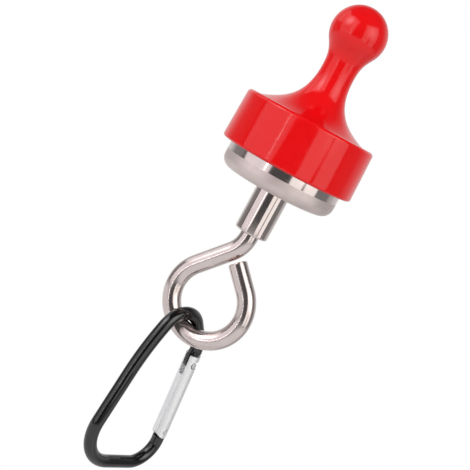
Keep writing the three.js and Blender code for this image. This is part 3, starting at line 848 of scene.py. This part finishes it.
def cross_pin(radius, height):
    """A pin across the gate at a height above the hinge, with domed ends: each dome's radius
    falls as a quarter of an ellipse over its own height."""
    share = np.linspace(0, np.pi / 2, DOME_STEPS + 1)
    dome = np.column_stack([radius * np.sin(share), PIN_HALF - PIN_DOME * (1 - np.cos(share))])
    profile = np.vstack([dome * [1, -1], dome[::-1]])
    points, faces = turned(profile, PIN_FACETS)
    points = points[:, [1, 2, 0]] + [0, 0, height]
    return [(in_gate(points), faces)]


rivet = piece("hinge_rivet_peened", cross_pin(RIVET_RADIUS, 0), zinc)
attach(rivet, "gate")
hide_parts("hinge_rivet")

catch = piece("catch_pin_pressed", cross_pin(CATCH_RADIUS, REACH - PIN_INSET), zinc)
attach(catch, "carabiner")
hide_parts("catch_pin")


# Spring and pusher
# Inside the gate a coil spring of bright wire presses a small turned pusher down on the hinge's
# cam, which shuts the gate. The pusher's stem keeps the spring centred.

PUSHER_TIP = 2.3
PUSHER_RADIUS = 0.9
PUSHER_SEAT = 4.7
STEM_RADIUS = 0.5
STEM_TOP = 6.3
STEM_EDGE = 0.15
SPRING_WIRE = 0.17              # radius
SPRING_WINDING = 0.78           # radius of the wire's centre line
SPRING_ENDS = (5.17, 12.93)
SPRING_COILS = 9
COIL_STEPS = 40
CLOSING_SHARE = 0.2             # by which the first and last turns lie closer
SPRING_FACETS = 14


def pusher_parts():
    """A round-nosed pin with a thinner stem, turned about the gate's axis."""
    profile = np.vstack([
        arc((0, PUSHER_TIP + PUSHER_RADIUS), PUSHER_RADIUS, -90, 0, steps=10),
        [(PUSHER_RADIUS, PUSHER_SEAT), (STEM_RADIUS, PUSHER_SEAT),
         (STEM_RADIUS, STEM_TOP - STEM_EDGE), (STEM_RADIUS - STEM_EDGE, STEM_TOP), (0, STEM_TOP)],
    ])
    points, faces = turned(profile, PIN_FACETS)
    return [(in_gate(points), faces)]


def spring_parts():
    """A round wire along a helix; the first and last turns lie closer than the ones between."""
    t = np.linspace(0, 1, SPRING_COILS * COIL_STEPS + 1)
    turn = 2 * np.pi * SPRING_COILS * t
    rise = t - CLOSING_SHARE * np.sin(2 * np.pi * t) / (2 * np.pi)
    centres = np.column_stack([SPRING_WINDING * np.cos(turn), SPRING_WINDING * np.sin(turn),
                               SPRING_ENDS[0] + (SPRING_ENDS[1] - SPRING_ENDS[0]) * rise])
    ahead = np.gradient(centres, axis=0)
    ahead /= np.linalg.norm(ahead, axis=1)[:, None]
    sides = np.column_stack([np.cos(turn), np.sin(turn), np.zeros_like(turn)])
    radii = np.full(len(t), SPRING_WIRE)
    centres, sides, ahead = (np.vstack([a[:1], a, a[-1:]]) for a in (centres, sides, ahead))
    points, faces = swept(centres, sides, np.cross(ahead, sides), [0, *radii, 0], SPRING_FACETS)
    return [(in_gate(points), faces)]


pusher = piece("spring_pusher_turned", pusher_parts(), zinc)
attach(pusher, "gate")
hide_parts("spring_pusher")

spring = piece("gate_spring_wound", spring_parts(), zinc)
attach(spring, "gate")
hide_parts("gate_spring")


# Studio
# White backdrop, two large soft boxes in front to the left and right, a thin strip beside the
# left one, and a pale floor under the hanging hook that fades into the backdrop.

CAMERA_TURN = 15                # degrees round the hook's axis
CAMERA_TILT = 8.6               # degrees below level
CAMERA_ROLL = 28.4
CAMERA_DISTANCE = 240
CAMERA_SIDE = -3.45
CAMERA_HEIGHT = 13.1
FOCAL_PIXELS = 912
PICTURE_PIXELS = 470
SENSOR = 36
LAMP_DISTANCE = 1.2             # metres
LAMP_DROP = 0.02                # metres


def toward(azimuth, elevation=0.0):
    """The direction from the hook at an azimuth from the camera, positive to its right."""
    a, e = math.radians(CAMERA_TURN + azimuth), math.radians(elevation)
    return Vector((math.sin(a) * math.cos(e), -math.cos(a) * math.cos(e), math.sin(e)))


def lamp(name, azimuth, elevation, width, height, radiance, written="#FFFFFF", fades=False):
    """A panel of light that faces the hook. Its sizes are the degrees that it spans, and its power is
    pi times its area times its radiance. A lamp that fades is brightest at its middle."""
    light = bpy.data.lights.new(name, "AREA")
    light.shape = "ELLIPSE" if fades else "RECTANGLE"
    light.size = 2 * LAMP_DISTANCE * math.tan(math.radians(width / 2))
    light.size_y = 2 * LAMP_DISTANCE * math.tan(math.radians(height / 2))
    area = light.size * light.size_y * (math.pi / 4 if fades else 1)
    light.energy = math.pi * area * radiance
    light.color = colour(written)[:3]
    if fades:
        light.use_nodes = True
        tree = light.node_tree
        place = add(tree, "NewGeometry").outputs["Parametric"]
        off = add(tree, "VectorMath", {0: place, 1: (0.5, 0.5, 0)}, operation="SUBTRACT")
        far = add(tree, "VectorMath", {0: off.outputs["Vector"]}, operation="LENGTH")
        glow = add(tree, "MapRange", {"Value": far.outputs["Value"], "From Max": 0.5,
                                      "To Min": 1, "To Max": 0}, interpolation_type="SMOOTHSTEP")
        wire_up(tree, tree.nodes["Emission"], {"Strength": glow.outputs["Result"]})
    box = bpy.data.objects.new(name, light)
    bpy.context.scene.collection.objects.link(box)
    aim = toward(azimuth, elevation)
    box.location = aim * LAMP_DISTANCE - Vector((0, 0, LAMP_DROP))
    box.rotation_euler = aim.to_track_quat("Z", "Y").to_euler()
    box.visible_camera = False


# Each soft box is an even front with a hot middle. The right one is two panels beside each other,
# and a dim wing stands past the left one.
lamp("left_box", -54.5, 16, 60, 62, 0.9, "#FFFAFD")
lamp("left_box_middle", -61, 28, 46, 44, 3.4, "#FFFAFD", fades=True)
lamp("left_wing", -102, 29, 32, 32, 0.75)
lamp("left_strip", -34.8, 10, 1.2, 56, 5)
lamp("right_box_inner", 30, 16, 27, 62, 1.12, "#FFFDFA")
lamp("right_box_outer", 60.5, 16, 28, 62, 1.15, "#FFFDFA")
lamp("right_box_middle", 46, 26, 56, 60, 1.6, "#FFFDFA", fades=True)

# The backdrop is white to the camera. Gloss mirrors the room that the hook hangs in: the white
# backdrop behind it, dim gaps beside the boxes and round the camera, a dim ceiling, and a table
# under it all. Other rays meet a plain grey. room and table give a grey at azimuths in degrees.
world = bpy.data.worlds.new("white_studio")
bpy.context.scene.world = world
world.use_nodes = True
tree = world.node_tree
way = add(tree, "TexCoord").outputs["Generated"]
faced = add(tree, "Mapping", {"Vector": way, "Rotation": (0, 0, math.radians(90 - CAMERA_TURN))})
split = add(tree, "SeparateXYZ", {"Vector": faced.outputs["Vector"]})
angle = add(tree, "Math", {0: split.outputs["Y"], 1: split.outputs["X"]}, operation="ARCTAN2")
share = add(tree, "MapRange", {"Value": angle.outputs["Value"],
                               "From Min": -math.pi, "From Max": math.pi})
room = [(-180, 0.8), (-140, 0.72), (-127, 0.45), (-119, 0.27), (-92, 0.25), (-87, 0.08), (77, 0.08),
        (80, 0.22), (106, 0.22), (113, 0.42), (139, 0.7), (180, 0.8)]
table = [(-180, 0.8), (85, 0.8), (98, 0.5), (130, 0.45), (165, 0.75), (180, 0.8)]
walls, tops = (
    add(tree, "ValToRGB", {"Fac": share.outputs["Result"]},
        stops=[((a + 180) / 360, (v, v, v, 1)) for a, v in levels])
    for levels in (room, table))
climb = add(tree, "MapRange", {"Value": split.outputs["Z"], "From Min": 0.4, "From Max": 0.82})
fall = add(tree, "MapRange", {"Value": split.outputs["Z"], "From Min": -0.22, "From Max": -0.33})
mirrored = add(tree, "Background", {"Color": walls.outputs["Color"]})
ceiling = add(tree, "Background", {"Color": (0.1, 0.1, 0.1, 1)})
ground = add(tree, "Background", {"Color": tops.outputs["Color"]})
upper = add(tree, "MixShader", {0: climb.outputs["Result"],
                                1: mirrored.outputs[0], 2: ceiling.outputs[0]})
around = add(tree, "MixShader", {0: fall.outputs["Result"],
                                 1: upper.outputs[0], 2: ground.outputs[0]})
fill = add(tree, "Background", {"Color": (0.38, 0.38, 0.38, 1)})
white = add(tree, "Background", {"Color": (1, 1, 1, 1)})
rays = add(tree, "LightPath")
shiny = add(tree, "Math", {0: rays.outputs["Is Glossy Ray"], 1: rays.outputs["Is Transmission Ray"]},
            operation="MAXIMUM")
lit = add(tree, "MixShader", {0: shiny.outputs["Value"],
                              1: fill.outputs[0], 2: around.outputs[0]})
seen = add(tree, "MixShader", {0: rays.outputs["Is Camera Ray"],
                               1: lit.outputs[0], 2: white.outputs[0]})
tree.links.new(seen.outputs[0], tree.nodes["World Output"].inputs["Surface"])

FLOOR_HEIGHT = -160
FLOOR_FADE = (50, 88)           # radii between which the floor turns into the backdrop
FLOOR_MARGIN = 2
FLOOR_FACETS = 96

paper, tree, shader = finish_of("white_paper_floor", Roughness=0.9, Specular_IOR_Level=0.1)
place = add(tree, "TexCoord").outputs["Object"]
spread = add(tree, "VectorMath", {0: place, 1: (1, 1, 0)}, operation="MULTIPLY")
far = add(tree, "VectorMath", {0: spread.outputs["Vector"]}, operation="LENGTH")
solid = add(tree, "MapRange", {"Value": far.outputs["Value"], "From Min": FLOOR_FADE[0] * 0.001,
                               "From Max": FLOOR_FADE[1] * 0.001, "To Min": 1, "To Max": 0})
fibre = add(tree, "TexNoise", {"Vector": place, "Scale": 1000 / 1.2, "Detail": 4})
shade = add(tree, "ValToRGB", {"Fac": fibre.outputs["Fac"]},
            stops=[(0.3, colour("#F2F2F2")), (0.7, colour("#F6F6F6"))])
below = add(tree, "NewGeometry").outputs["Backfacing"]
shown = add(tree, "Math", {0: solid.outputs["Result"], 1: below}, operation="SUBTRACT", use_clamp=True)
wire_up(tree, shader, {"Base Color": shade.outputs["Color"], "Alpha": shown.outputs["Value"]})

floor_rings = [(radius, FLOOR_HEIGHT) for radius in (FLOOR_FADE[1] + FLOOR_MARGIN, FLOOR_FADE[0], 0)]
floor = piece("floor", [turned(floor_rings, FLOOR_FACETS)], paper)

lens = bpy.data.cameras.new("camera")
lens.sensor_width = SENSOR
lens.lens = SENSOR * FOCAL_PIXELS / PICTURE_PIXELS
lens.clip_start, lens.clip_end = 0.01, 20
camera = bpy.data.objects.new("camera", lens)
bpy.context.scene.collection.objects.link(camera)
bpy.context.scene.camera = camera
turn, tilt, roll = (math.radians(a) for a in (CAMERA_TURN, CAMERA_TILT, CAMERA_ROLL))
level = Vector((math.cos(turn), math.sin(turn), 0))
ahead = Vector((-math.sin(turn) * math.cos(tilt), math.cos(turn) * math.cos(tilt), -math.sin(tilt)))
upright = level.cross(ahead)
right = level * math.cos(roll) + upright * math.sin(roll)
up = upright * math.cos(roll) - level * math.sin(roll)
stand = level * CAMERA_SIDE + toward(0) * CAMERA_DISTANCE + Vector((0, 0, CAMERA_HEIGHT))
axes = Matrix((right, up, -ahead)).transposed().to_4x4()
camera.matrix_world = Matrix.Translation(stand * 0.001) @ axes

bpy.context.scene.view_settings.view_transform = "Standard"
